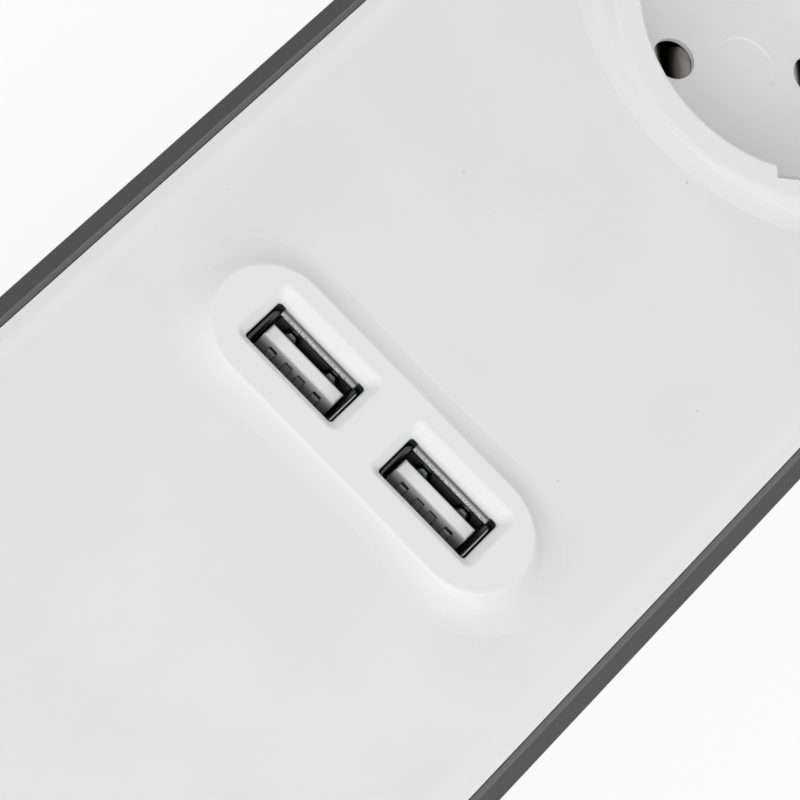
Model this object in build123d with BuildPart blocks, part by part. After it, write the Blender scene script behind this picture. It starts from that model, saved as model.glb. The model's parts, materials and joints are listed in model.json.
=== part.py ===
from build123d import *
import math
import os

os.makedirs("parts", exist_ok=True)

# All sizes are in millimetres.
# X runs along the strip, Y across it and Z up. The feet stand on Z = 0, under the middle of the strip.

# Layout along the strip
blank_length = 84.0         # left end of the tray to the USB ports
usb_to_socket = 80.3        # USB ports to the first socket
socket_count = 4
socket_gap = 5.7            # between the flat tops of neighbouring collars
socket_to_switch = 54.0
switch_to_end = 34.0

# Heights, from the surface up
foot_proud = 1.2            # rubber feet below the tray
tray_floor = 2.5
ledge_height = 24.3         # tray floor to the ledge that the cover sits on
lip_height = 4.6            # tray lip beside the cover
cover_height = 13.0         # ledge to the top of the cover's crown
crown_drop = 4.0            # crown to the cover's long edges
pad_rise = 0.8              # flat pads above the crown
ring_rise = 1.4             # socket collars above the crown

# Tray
foot_width = 84.2
foot_corner = 14.0
wall_draft = 8.5            # degrees that the tray flares towards its foot
tray_wall = 2.4
tray_edge = 1.8             # rounding of the foot
lip_wall = 0.7
lip_round = 0.3
cover_gap = 0.25            # gap between lip and cover

# Cover
cover_wall = 2.0
cover_edge = 3.6            # rounding of the top edge

# Sockets
well_radius = 20.0
well_depth = 14.0
well_wall = 1.8
well_floor = 2.0
well_floor_round = 0.8
rim_round = 0.5
ring_width = 3.65           # flat top of the collar and its outer rounding
ring_slope = 1.0            # outward run of the collar's flank for each mm down
ring_round = 0.6
ring_foot = 3.0             # hollow rounding where the collar meets the crown
socket_angle = 45.0         # direction of the earth clips
pin_spacing = 19.0
pin_hole_radius = 2.75
pin_floor = 0.8             # floor left over the contacts, round each pin hole
pin_recess_radius = 4.4
dimple_radius = 4.0
dimple_depth = 0.25
rib_width = 5.0
rib_depth = 1.6
rib_drop = 4.0              # rib end below the collar

# Contacts
bar_thickness = 0.8
bar_width = 8.2
bar_post_height = 4.0
bar_post_length = 6.0
jaw_width = 5.0
jaw_gap = 0.8               # between the leaves, before a pin spreads them
jaw_roll = 1.9              # radius of their rolled tops
jaw_headroom = 0.15         # under the well's floor
clip_width = 8.0
clip_thickness = 0.8
clip_bulge = 2.0            # how far the spring reaches into the well
clip_clearance = 0.3
clip_headroom = 1.6
clip_drop = 2.2             # clip tip below the collar
clip_chamber_wall = 1.4
earth_bar_width = 4.0
earth_bar_thickness = 1.2
earth_bar_tail = 8.0        # bar beyond the outer sockets
earth_post_radius = 2.0

# USB ports and their pad
usb_pitch = 21.06
pad_half_length = 23.14
pad_radius = 7.43
pad_offset = 0.52           # pad centre left of the ports' centre
pad_slope = 1.1
pad_round = 0.5
pad_foot = 5.0              # hollow rounding where the pads meet the crown
pocket_depth = 1.7
pocket_draft_long = 1.4     # widening beyond the port's long sides
pocket_draft_short = 1.1    # widening beyond the port's short sides
pocket_corner = 1.2
pocket_round = 0.5          # rounding of the pocket's rim
cutout_corner = 0.45
shell_width = 13.1
shell_height = 5.7
shell_sheet = 0.3
shell_corner = 0.8
shell_length = 13.0
shell_drop = 1.0            # shell's mouth below the pocket
hem_proud = 0.2             # folded lip outside the shell's far wall
hem_drop = 0.4              # lip below the pocket
hem_depth = 1.0
hem_round = 0.2
port_fit = 0.07             # cut-out round the lip
leaf_width = 2.9
leaf_tip = 0.8              # width of the leaf's narrow end
leaf_taper = 3.1            # length over which it narrows
leaf_slot = 0.45
leaf_length = 7.4
leaf_y = 3.15
leaf_top = 0.5              # leaf slot below the shell's mouth
leaf_lean = 0.4
tongue_width = 11.1
tongue_thickness = 1.84
tongue_offset = 0.88        # tongue centre from the port's centre
tongue_recess = 0.85        # tongue end below the shell's mouth
tongue_base = 3.0
tongue_round = 0.35
shell_fit = 0.05
contact_width = 1.0
contact_thickness = 0.3
contact_proud = 0.1
power_contact_y = 3.5
data_contact_y = 1.0
contact_recess = 1.1        # grooves below the tongue's end
power_contact_drop = 0.9    # outer contacts end below their grooves
contact_notch = 0.6         # depth of the outer grooves' ends
contact_round = 0.1
contact_fit = 0.08

# USB charger board
board_thickness = 1.6
usb_board_length = 46.0
usb_board_width = 50.0
board_inset = 4.0           # screws from the board's edges
board_post_radius = 3.2
board_screw_radius = 1.2
board_screw_head_radius = 2.4
board_screw_head = 1.4
board_screw_length = 6.0
screw_hole_gap = 0.1
transformer_length = 18.0
transformer_width = 16.0
transformer_height = 14.0
transformer_core = 5.0
transformer_x = -10.0       # from the ports
capacitor_radius = 4.0
capacitor_height = 12.0
capacitor_spacing = 12.0
capacitor_x = 10.0
component_gap = 0.1
can_round = 0.5
link_radius = 0.7
link_x = 16.0

# Surge board
surge_board_x = 33.0        # from the left end
surge_board_length = 40.0
surge_board_width = 44.0
varistor_count = 3
varistor_radius = 7.0
varistor_thickness = 4.6
varistor_round = 1.2
varistor_pitch = 10.0
varistor_stand = 1.5
lead_radius = 0.4
lead_spacing = 7.5
fuse_radius = 2.0
fuse_length = 10.0
fuse_y = 16.0
fuse_stand = 0.5
fuse_lead = 2.5             # lead beyond the body before it bends down

# Master switch
switch_pad_length = 36.0
switch_pad_width = 29.0
switch_pad_corner = 5.0
flange_length = 31.0
flange_width = 24.0
flange_thickness = 1.6
flange_corner = 2.5
flange_round = 0.5
switch_body_depth = 18.0
switch_side_wall = 1.5
switch_end_wall = 1.3
switch_floor = 6.0
switch_cutout_gap = 0.2
rocker_reach = 12.0         # pivot to the rocker's ends
rocker_width = 16.6
rocker_side_gap = 0.2
rocker_end_gap = 0.25
rocker_tilt = 11.0          # degrees to either side
rocker_proud = 0.3          # pressed end above the flange
rocker_dish = 1.2
rocker_skirt = 4.0
rocker_round = 0.5
pivot_depth = 4.0           # pivot below the flange
pivot_radius = 1.5
pivot_gap = 0.05
pivot_length = 1.2
terminal_x = 8.0
terminal_width = 6.0
terminal_thickness = 0.8
terminal_length = 10.0
terminal_socket = 2.0
terminal_gap = 0.1
tab_overlap = 6.0

# Indicator
lens_radius = 2.5
lens_gap = 0.05
lens_dome = 0.8
lens_flange = 1.2
lens_flange_thickness = 1.0
lens_length = 6.0
lens_x = 6.0                # from the switch pad's edge
led_radius = 1.5
led_depth = 2.5
led_length = 5.0
led_lead_length = 8.0
led_lead_spacing = 2.54

# Cord inlet
gland_height = 17.0
gland_bore = 4.2
gland_wall = 2.3
gland_flange = 2.0
gland_flange_thickness = 1.4
gland_collar = 1.0
gland_collar_length = 2.5
gland_fit = 0.1
gland_boss_wall = 2.6
gland_boss_length = 4.6
gland_boss_inset = 1.7      # boss face inside the tray's foot line

# Housing screws
screw_side = 12.6           # from the tray's long sides
screw_end = 20.0            # from the strip's ends
screw_radius = 1.6
screw_head_radius = 3.2
screw_head = 2.4
screw_cross_length = 3.6
screw_cross_width = 0.9
screw_cross_depth = 1.3
screw_length = 16.0
screw_seat = 7.0            # seat above the tray's underside
screw_post_radius = 5.0
screw_post_height = 10.0
screw_boss_radius = 3.6

# Feet and wall mounting
foot_radius = 6.0
foot_recess = 1.0
foot_fit = 0.1
foot_round = 0.5
foot_end = 46.0             # from the strip's ends
foot_side = 11.1            # from the tray's long sides
keyhole_spacing = 220.0
keyhole_start = 44.0        # first keyhole from the USB ports
keyhole_entry_radius = 4.5
keyhole_slot_radius = 2.3
keyhole_run = 8.0
keyhole_plate = 1.6
keyhole_pocket = 3.2
keyhole_wall = 1.2

# Derived places and sizes
ring_top_radius = well_radius + ring_width
socket_pitch = 2 * ring_top_radius + socket_gap
socket_span = (socket_count - 1) * socket_pitch
strip_length = blank_length + usb_to_socket + socket_span + socket_to_switch + switch_to_end
left_end = -strip_length / 2
right_end = strip_length / 2
usb_x = left_end + blank_length
socket_xs = [usb_x + usb_to_socket + index * socket_pitch for index in range(socket_count)]
socket_axes = [(x, 0) for x in socket_xs]
earth_plane = Plane.XY.rotated((0, 0, socket_angle))
pin_plane = Plane.XY.rotated((0, 0, socket_angle + 90))
between_sockets = [x + socket_pitch / 2 for x in socket_xs[:-1]]
switch_x = socket_xs[-1] + socket_to_switch
port_ys = [-usb_pitch / 2, usb_pitch / 2]
port_places = [(usb_x, y) for y in port_ys]

tray_z = foot_proud
floor_z = tray_z + tray_floor
ledge_z = floor_z + ledge_height
rim_z = ledge_z + lip_height
crown_z = ledge_z + cover_height
pad_z = crown_z + pad_rise
ring_z = crown_z + ring_rise
well_floor_z = ring_z - well_depth
well_under_z = well_floor_z - well_floor

flare = math.tan(math.radians(wall_draft))
rim_inset = (rim_z - tray_z) * flare + lip_wall + cover_gap
cover_length = strip_length - 2 * rim_inset
cover_width = foot_width - 2 * rim_inset
cover_corner = foot_corner - rim_inset
hollow_length = cover_length - 2 * cover_wall
hollow_width = cover_width - 2 * cover_wall
inner_inset = tray_floor * flare + tray_wall
inner_length = strip_length - 2 * inner_inset
inner_width = foot_width - 2 * inner_inset
crown_radius = (cover_width ** 2 / 4 + crown_drop ** 2) / (2 * crown_drop)

pin_offset = pin_spacing / 2 * math.sin(math.radians(socket_angle))
bar_z = floor_z + bar_post_height
bar_top = bar_z + bar_thickness
jaw_top = well_floor_z - pin_floor - jaw_headroom - bar_thickness / 2
clip_base_z = well_under_z - clip_headroom - clip_thickness
earth_bar_z = clip_base_z - earth_bar_thickness
clip_radius = well_radius + clip_clearance
clip_slot_width = clip_width + 2 * clip_clearance
clip_slot_radius = clip_radius + clip_thickness + clip_clearance
chamber_radius = clip_slot_radius + clip_chamber_wall

port_gap = hem_proud + port_fit
cutout_width = shell_width + 2 * port_gap
cutout_height = shell_height + 2 * port_gap
pocket_width = cutout_width + 2 * pocket_draft_short
pocket_height = cutout_height + 2 * pocket_draft_long
pad_taper = -math.degrees(math.atan(pad_slope))
port_z = pad_z - pocket_depth
shell_top = port_z - shell_drop
usb_board_top = shell_top - shell_length
usb_board_z = usb_board_top - board_thickness
surge_x = left_end + surge_board_x
surge_board_top = bar_top + board_thickness
bar_start = surge_x - surge_board_length / 2 + board_inset
bar_end = switch_x - terminal_x - terminal_thickness / 2

switch_body_length = 2 * (rocker_reach + rocker_end_gap + switch_end_wall)
switch_body_width = rocker_width + 2 * (rocker_side_gap + switch_side_wall)
switch_bottom = pad_z - switch_body_depth
flange_top = pad_z + flange_thickness
pivot_z = flange_top - pivot_depth
indicator_x = switch_x - switch_pad_length / 2 - lens_x
gland_face_x = right_end - gland_boss_inset
gland_radius = gland_bore + gland_wall
gland_hole = gland_radius + gland_fit
screw_y = foot_width / 2 - screw_side
screw_xs = [left_end + screw_end, between_sockets[0], right_end - screw_end]
screw_places = [(x, y) for x in screw_xs for y in (-screw_y, screw_y)]
screw_seat_z = tray_z + screw_seat
post_top = floor_z + screw_post_height
foot_y = foot_width / 2 - foot_side
foot_places = [(x, y) for x in (left_end + foot_end, right_end - foot_end) for y in (-foot_y, foot_y)]
keyhole_xs = [usb_x + keyhole_start, usb_x + keyhole_start + keyhole_spacing]
board_posts = [
    (usb_x, usb_board_length, usb_board_width, usb_board_z),
    (surge_x, surge_board_length, surge_board_width, bar_top),
]


def save(builder, name):
    """Labels a finished piece and writes it to its own file."""
    builder.part.label = name
    export_step(builder.part, f"parts/{name}.step")


def crown_height(y, wall=0.0):
    """Height of the crowned top, or of the surface a wall below it, at a distance from the middle."""
    return crown_z - crown_radius + math.sqrt((crown_radius - wall) ** 2 - y ** 2)


def board_corners(centre_x, length, width):
    """Screw places near the four corners of a board."""
    half_length = length / 2 - board_inset
    half_width = width / 2 - board_inset
    return [(centre_x + i * half_length, j * half_width) for i in (-1, 1) for j in (-1, 1)]


def crown_section(low, wall=0.0):
    """Closed section from a level up to the crown, or up to the surface a wall below it."""
    half = cover_width / 2
    edge_z = crown_height(half, wall)
    with BuildLine() as outline:
        arc = ThreePointArc((-half, edge_z), (0, crown_z - wall), (half, edge_z))
        Polyline(arc @ 1, (half, low), (-half, low), arc @ 0)
    make_face(outline.edges())


# Tray, the dark lower half of the housing
with BuildPart() as base_tray:
    with BuildSketch(Plane.XY.offset(tray_z)):
        RectangleRounded(strip_length, foot_width, foot_corner)
    extrude(amount=rim_z - tray_z, taper=wall_draft)
    fillet(base_tray.faces().sort_by(Axis.Z)[-1].edges(), lip_round)
    fillet(base_tray.faces().sort_by(Axis.Z)[0].edges(), tray_edge)
    with BuildSketch(Plane.XY.offset(floor_z)):
        RectangleRounded(inner_length, inner_width, foot_corner - inner_inset)
    extrude(amount=ledge_z - floor_z, taper=wall_draft, mode=Mode.SUBTRACT)
    with BuildSketch(Plane.XY.offset(ledge_z)):
        RectangleRounded(cover_length + 2 * cover_gap, cover_width + 2 * cover_gap, cover_corner + cover_gap)
    extrude(amount=lip_height, mode=Mode.SUBTRACT)
    # Posts for the boards, the contact bars and the housing screws
    for centre_x, length, width, height in board_posts:
        with BuildSketch(Plane.XY.offset(floor_z)):
            with Locations(*board_corners(centre_x, length, width)):
                Circle(board_post_radius)
        extrude(amount=height - floor_z)
        with BuildSketch(Plane.XY.offset(height)):
            with Locations(*board_corners(centre_x, length, width)):
                Circle(board_screw_radius + component_gap / 2)
        extrude(amount=board_thickness - board_screw_length, mode=Mode.SUBTRACT)
    with BuildSketch(Plane.XY.offset(floor_z)):
        for x in [usb_x] + between_sockets + [bar_end - bar_post_length]:
            with Locations((x, -pin_offset), (x, pin_offset)):
                Rectangle(bar_post_length, bar_width)
    extrude(amount=bar_post_height)
    with BuildSketch(Plane.XY.offset(floor_z)):
        with Locations(*[(x, 0) for x in between_sockets]):
            Circle(earth_post_radius)
    extrude(amount=earth_bar_z - floor_z)
    with BuildSketch(Plane.XY.offset(floor_z)):
        with Locations(*screw_places):
            Circle(screw_post_radius)
    extrude(amount=screw_post_height)
    with BuildSketch(Plane.XY.offset(tray_z)):
        with Locations(*screw_places):
            Circle(screw_head_radius + screw_hole_gap)
    extrude(amount=screw_seat, mode=Mode.SUBTRACT)
    with BuildSketch(Plane.XY.offset(screw_seat_z)):
        with Locations(*screw_places):
            Circle(screw_radius + screw_hole_gap)
    extrude(amount=post_top - screw_seat_z, mode=Mode.SUBTRACT)
    # Upright boss and hole for the cord's gland
    with BuildSketch(Plane.YZ.offset(gland_face_x)):
        with Locations((0, gland_height)):
            Circle(gland_hole + gland_boss_wall)
    extrude(amount=-gland_boss_length)
    with BuildSketch(Plane.YZ.offset(right_end)):
        with Locations((0, gland_height)):
            Circle(gland_hole + gland_boss_wall)
    extrude(amount=gland_face_x - right_end, mode=Mode.SUBTRACT)
    with BuildSketch(Plane.YZ.offset(right_end)):
        with Locations((0, gland_height)):
            Circle(gland_hole)
    extrude(amount=-(gland_boss_inset + gland_boss_length + tray_wall), mode=Mode.SUBTRACT)
    # Foot recesses and closed keyhole pockets on the underside
    with BuildSketch(Plane.XY.offset(tray_z)):
        with Locations(*foot_places):
            Circle(foot_radius + foot_fit)
    extrude(amount=foot_recess, mode=Mode.SUBTRACT)
    pocket_radius = keyhole_entry_radius
    pocket_length = keyhole_run + 2 * pocket_radius
    keyhole_places = [(x + keyhole_run / 2, 0) for x in keyhole_xs]
    with BuildSketch(Plane.XY.offset(floor_z)):
        with Locations(*keyhole_places):
            Rectangle(pocket_length + 2 * keyhole_wall, 2 * (pocket_radius + keyhole_wall))
    extrude(amount=keyhole_pocket)
    with BuildSketch(Plane.XY.offset(tray_z + keyhole_plate)):
        with Locations(*keyhole_places):
            SlotOverall(pocket_length, 2 * pocket_radius)
    extrude(amount=floor_z + keyhole_pocket - keyhole_wall - tray_z - keyhole_plate, mode=Mode.SUBTRACT)
    with BuildSketch(Plane.XY.offset(tray_z)):
        with Locations(*[(x, 0) for x in keyhole_xs]):
            Circle(keyhole_entry_radius)
        with Locations(*keyhole_places):
            SlotCenterToCenter(keyhole_run, 2 * keyhole_slot_radius)
    extrude(amount=keyhole_plate, mode=Mode.SUBTRACT)
save(base_tray, "base_tray")

# Hollow under the cover's crowned top
with BuildPart() as cover_hollow:
    with BuildSketch(Plane.XY.offset(floor_z)):
        RectangleRounded(hollow_length, hollow_width, cover_corner - cover_wall)
    extrude(amount=crown_z - floor_z)
    with BuildSketch(Plane.YZ.offset(left_end)):
        crown_section(floor_z, cover_wall)
    extrude(amount=strip_length, mode=Mode.INTERSECT)

# Collar round a socket, a disc with a sloping flank that stands in the cover's top
collar_low = crown_z - crown_drop
with BuildPart() as socket_collar:
    with BuildSketch(Plane.XZ) as collar_section:
        with BuildLine():
            Polyline(
                (0, collar_low),
                (ring_top_radius + (ring_z - collar_low) * ring_slope, collar_low),
                (ring_top_radius, ring_z),
                (0, ring_z),
                close=True,
            )
        make_face()
        fillet(collar_section.vertices().group_by(Axis.Y)[-1].sort_by(Axis.X)[-1], ring_round)
    revolve(axis=Axis.Z)

# Outside of a socket's well under the cover, with a chamber at each end of the earth clip
with BuildPart() as socket_body:
    with BuildSketch(earth_plane.offset(well_under_z)):
        Circle(well_radius + well_wall)
        Rectangle(2 * chamber_radius, clip_slot_width + 2 * clip_chamber_wall)
    extrude(amount=crown_z - well_under_z)

# Space inside a socket, with a rounded mouth and a shallow dimple in its floor
with BuildPart() as socket_well:
    with BuildSketch(Plane.XZ) as well_section:
        with BuildLine():
            Polyline(
                (0, well_floor_z - dimple_depth),
                (dimple_radius, well_floor_z - dimple_depth),
                (dimple_radius, well_floor_z),
                (well_radius, well_floor_z),
                (well_radius, ring_z),
                (ring_top_radius, ring_z),
                (ring_top_radius, ring_z + ring_rise),
                (0, ring_z + ring_rise),
                close=True,
            )
        make_face()
        well_corners = well_section.vertices().filter_by_position(Axis.X, well_radius, well_radius)
        fillet(well_corners.sort_by(Axis.Y)[0], well_floor_round)
        mouth_corners = well_section.vertices().filter_by_position(Axis.Y, ring_z, ring_z)
        fillet(mouth_corners.sort_by(Axis.X)[0], rim_round)
    revolve(axis=Axis.Z)
    # Guide ribs in line with the pins stand into the space
    with BuildSketch(pin_plane.offset(well_floor_z)):
        with GridLocations(2 * well_radius - rib_depth, 0, 2, 1):
            Rectangle(rib_depth, rib_width)
    extrude(amount=well_depth - rib_drop, mode=Mode.SUBTRACT)
    # Pin holes with the floor thinned under them, and slots that let the earth clips up into the well
    with BuildSketch(pin_plane.offset(well_under_z)):
        with GridLocations(pin_spacing, 0, 2, 1):
            Circle(pin_hole_radius)
    extrude(amount=well_floor)
    with BuildSketch(pin_plane.offset(well_under_z)):
        with GridLocations(pin_spacing, 0, 2, 1):
            Circle(pin_recess_radius)
    extrude(amount=well_floor - pin_floor)
    with BuildSketch(earth_plane.offset(well_under_z)):
        with GridLocations(well_radius + clip_slot_radius, 0, 2, 1):
            Rectangle(clip_slot_radius - well_radius, clip_slot_width)
    extrude(amount=well_floor)
    with BuildSketch(earth_plane.offset(well_floor_z)):
        with GridLocations(well_radius - clip_bulge + clip_slot_radius, 0, 2, 1):
            Rectangle(clip_slot_radius - well_radius + clip_bulge, clip_slot_width)
    extrude(amount=well_depth + ring_rise)

# Cover, one white moulding with the socket wells and the USB pad
with BuildPart() as top_cover:
    with BuildSketch(Plane.YZ.offset(-cover_length / 2)):
        crown_section(ledge_z)
    extrude(amount=cover_length)
    fillet(top_cover.edges().filter_by(Axis.Z), cover_corner)
    fillet(top_cover.faces().sort_by(Axis.Z)[-1].edges(), cover_edge)
    # Collars and pads stand on the crown, and the hollow trims what reaches inside
    with Locations(*socket_axes):
        add(socket_collar.part)
    with BuildSketch(Plane.XY.offset(pad_z)):
        with Locations((usb_x - pad_offset, 0)):
            SlotOverall(2 * pad_half_length, 2 * pad_radius, rotation=90)
    extrude(amount=-(pad_rise + crown_drop), taper=pad_taper)
    with BuildSketch(Plane.XY.offset(pad_z)):
        with Locations((switch_x, 0)):
            RectangleRounded(switch_pad_length, switch_pad_width, switch_pad_corner)
    extrude(amount=-(pad_rise + crown_drop), taper=pad_taper)
    fillet(top_cover.faces().filter_by_position(Axis.Z, pad_z, pad_z).edges(), pad_round)
    crown_face = top_cover.faces().sort_by(lambda face: len(face.inner_wires()))[-1]
    usb_outline, *collar_outlines, switch_outline = crown_face.inner_wires().sort_by(Axis.X)
    for outline in (usb_outline, switch_outline):
        fillet(outline.edges(), pad_foot)
    for outline in collar_outlines:
        fillet(outline.edges(), ring_foot)
    add(cover_hollow.part, mode=Mode.SUBTRACT)
    # Wells, open to the top
    with Locations(*socket_axes):
        add(socket_body.part)
        add(socket_well.part, mode=Mode.SUBTRACT)
    # Bevelled pockets with soft rims, and cut-outs of the USB ports
    for x, y in port_places:
        with BuildSketch(Plane((x, y, pad_z))):
            RectangleRounded(pocket_height, pocket_width, pocket_corner)
        with BuildSketch(Plane((x, y, port_z))):
            RectangleRounded(cutout_height, cutout_width, cutout_corner)
        loft(mode=Mode.SUBTRACT)
    pad_face = top_cover.faces().filter_by_position(Axis.Z, pad_z, pad_z).sort_by(Axis.X)[0]
    for rim in pad_face.inner_wires():
        fillet(rim.edges(), pocket_round)
    with BuildSketch(Plane.XY.offset(port_z)):
        with Locations(*port_places):
            RectangleRounded(cutout_height, cutout_width, cutout_corner)
    extrude(amount=-(cover_wall + crown_drop), mode=Mode.SUBTRACT)
    # Cut-outs of the switch and the indicator
    with BuildSketch(Plane.XY.offset(pad_z)):
        with Locations((switch_x, 0)):
            Rectangle(switch_body_length + 2 * switch_cutout_gap, switch_body_width + 2 * switch_cutout_gap)
    extrude(amount=-(pad_rise + cover_wall + crown_drop), mode=Mode.SUBTRACT)
    with BuildSketch(Plane.XY.offset(crown_z)):
        with Locations((indicator_x, 0)):
            Circle(lens_radius + lens_gap)
    extrude(amount=-(cover_wall + crown_drop), mode=Mode.SUBTRACT)
    # Screw bosses that meet the tray's posts
    with BuildSketch(Plane.XY.offset(post_top)):
        with Locations(*screw_places):
            Circle(screw_boss_radius)
    extrude(amount=crown_height(screw_y) - cover_wall / 2 - post_top)
    with BuildSketch(Plane.XY.offset(post_top)):
        with Locations(*screw_places):
            Circle(screw_radius + component_gap / 2)
    extrude(amount=screw_seat_z + screw_length + component_gap - post_top, mode=Mode.SUBTRACT)
save(top_cover, "top_cover")

# Rubber feet in the tray's recesses
for index, (x, y) in enumerate(foot_places, 1):
    with BuildPart() as rubber_foot:
        with BuildSketch(Plane((x, y, 0))):
            Circle(foot_radius)
        extrude(amount=foot_proud + foot_recess)
        fillet(rubber_foot.faces().sort_by(Axis.Z)[0].edges(), foot_round)
    save(rubber_foot, f"rubber_foot_{index}")

# Screws that hold the cover to the tray, driven from below
with BuildPart() as housing_screws:
    with BuildSketch(Plane.XY.offset(screw_seat_z)):
        with Locations(*screw_places):
            Circle(screw_head_radius)
    extrude(amount=-screw_head)
    with BuildSketch(Plane.XY.offset(screw_seat_z)):
        with Locations(*screw_places):
            Circle(screw_radius)
    extrude(amount=screw_length)
    with BuildSketch(Plane.XY.offset(screw_seat_z - screw_head)):
        with Locations(*screw_places):
            Rectangle(screw_cross_length, screw_cross_width)
            Rectangle(screw_cross_width, screw_cross_length)
    extrude(amount=screw_cross_depth, mode=Mode.SUBTRACT)
save(housing_screws, "housing_screws")

# Screws that hold the two boards to their posts
with BuildPart() as board_screws:
    for centre_x, length, width, height in board_posts:
        with BuildSketch(Plane.XY.offset(height + board_thickness)):
            with Locations(*board_corners(centre_x, length, width)):
                Circle(board_screw_head_radius)
        extrude(amount=board_screw_head)
        with BuildSketch(Plane.XY.offset(height + board_thickness)):
            with Locations(*board_corners(centre_x, length, width)):
                Circle(board_screw_radius)
        extrude(amount=-board_screw_length + component_gap)
save(board_screws, "board_screws")

# Circuit boards
for name, (centre_x, length, width, height) in zip(("usb_board", "surge_board"), board_posts):
    with BuildPart() as board:
        with BuildSketch(Plane.XY.offset(height)):
            with Locations((centre_x, 0)):
                Rectangle(length, width)
            with Locations(*board_corners(centre_x, length, width)):
                Circle(board_screw_radius + screw_hole_gap, mode=Mode.SUBTRACT)
        extrude(amount=board_thickness)
    save(board, name)

# USB receptacles: folded shell with a hemmed lip and sprung leaves, tongue with its base, and contact strips
mouth_height = shell_height - 2 * shell_sheet
mouth_width = shell_width - 2 * shell_sheet
base_height = mouth_height - 2 * shell_fit
base_width = mouth_width - 2 * shell_fit
leaf_root_z = shell_top - leaf_top - leaf_slot - leaf_length
leaf_angle = math.atan(leaf_lean / leaf_length)
hem_width = shell_width - 2 * shell_corner
hem_thickness = shell_sheet + hem_proud
tongue_face_x = usb_x + tongue_offset - tongue_thickness / 2
tongue_low = usb_board_top + tongue_base
tongue_top = shell_top - tongue_recess
groove_top = tongue_top - contact_recess
contact_tops = [
    (-power_contact_y, groove_top - power_contact_drop),
    (-data_contact_y, groove_top - contact_fit),
    (data_contact_y, groove_top - contact_fit),
    (power_contact_y, groove_top - power_contact_drop),
]


def leaf_outline(centre, half_root, half_tip, low, shoulder, tip):
    """Face of a sprung leaf, or of the slot round it, that narrows towards its end."""
    half = [(half_root, low), (half_root, shoulder), (half_tip, tip)]
    with BuildLine() as outline:
        Polyline(*[(centre + u, z) for u, z in half], *[(centre - u, z) for u, z in reversed(half)], close=True)
    make_face(outline.edges())


for index, y in enumerate(port_ys, 1):
    with BuildPart() as usb_shell:
        with BuildSketch(Plane.XY.offset(usb_board_top)):
            with Locations((usb_x, y)):
                RectangleRounded(shell_height, shell_width, shell_corner)
                RectangleRounded(mouth_height, mouth_width, shell_corner - shell_sheet, mode=Mode.SUBTRACT)
        extrude(amount=shell_length)
        with BuildSketch(Plane((usb_x, y, port_z - hem_drop))):
            with Locations((mouth_height / 2 + hem_thickness / 2, 0)):
                Rectangle(hem_thickness, hem_width)
        extrude(amount=-hem_depth)
        fillet(usb_shell.faces().sort_by(Axis.Z)[-1].edges().filter_by(Axis.Y), hem_round)
        with BuildSketch(Plane.YZ.offset(usb_x - shell_height / 2)):
            for leaf_place in (y - leaf_y, y + leaf_y):
                slot_top = leaf_root_z + leaf_length + leaf_slot
                shoulder = leaf_root_z + leaf_length - leaf_taper
                leaf_outline(
                    leaf_place, leaf_width / 2 + leaf_slot, leaf_tip / 2 + leaf_slot, leaf_root_z, shoulder, slot_top
                )
        extrude(amount=shell_height, mode=Mode.SUBTRACT)
        for side, leaf_x in ((-1, usb_x - shell_height / 2), (1, usb_x + shell_height / 2 - shell_sheet)):
            lean_normal = (math.cos(leaf_angle), 0, side * math.sin(leaf_angle))
            for leaf_place in (y - leaf_y, y + leaf_y):
                leaf_root = (leaf_x, leaf_place, leaf_root_z)
                with BuildSketch(Plane(leaf_root, x_dir=(0, 1, 0), z_dir=lean_normal)):
                    leaf_outline(0, leaf_width / 2, leaf_tip / 2, -leaf_slot, leaf_length - leaf_taper, leaf_length)
                extrude(amount=shell_sheet)
    save(usb_shell, f"usb_shell_{index}")

    with BuildPart() as usb_tongue:
        with BuildSketch(Plane.XY.offset(usb_board_top)):
            with Locations((usb_x, y)):
                RectangleRounded(base_height, base_width, shell_corner - shell_sheet)
        extrude(amount=tongue_base)
        with BuildSketch(Plane.XY.offset(tongue_low)):
            with Locations((usb_x + tongue_offset, y)):
                Rectangle(tongue_thickness, tongue_width)
        extrude(amount=tongue_top - tongue_low)
        fillet(usb_tongue.faces().sort_by(Axis.Z)[-1].edges(), tongue_round)
        groove_depth = contact_thickness - contact_proud + contact_fit
        with BuildSketch(Plane.XY.offset(tongue_low)):
            for place, _ in contact_tops:
                with Locations((tongue_face_x + groove_depth / 2, y + place)):
                    Rectangle(groove_depth, contact_width + 2 * contact_fit)
        extrude(amount=groove_top - tongue_low, mode=Mode.SUBTRACT)
        with BuildSketch(Plane.XY.offset(groove_top)):
            with Locations((tongue_face_x + contact_notch / 2, y)):
                with GridLocations(0, 2 * power_contact_y, 1, 2):
                    Rectangle(contact_notch, contact_width + 2 * contact_fit)
        extrude(amount=-power_contact_drop, mode=Mode.SUBTRACT)
    save(usb_tongue, f"usb_tongue_{index}")

    with BuildPart() as usb_contacts:
        for place, contact_top in contact_tops:
            with BuildSketch(Plane.XY.offset(tongue_low)):
                with Locations((tongue_face_x - contact_proud + contact_thickness / 2, y + place)):
                    Rectangle(contact_thickness, contact_width)
            extrude(amount=contact_top - tongue_low)
        tip_edges = usb_contacts.faces().filter_by(Axis.Z).edges().filter_by(Axis.Y).filter_by_position(
            Axis.Z, groove_top - power_contact_drop, groove_top
        )
        fillet(tip_edges.group_by(Axis.X)[0], contact_round)
    save(usb_contacts, f"usb_contacts_{index}")

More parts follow.
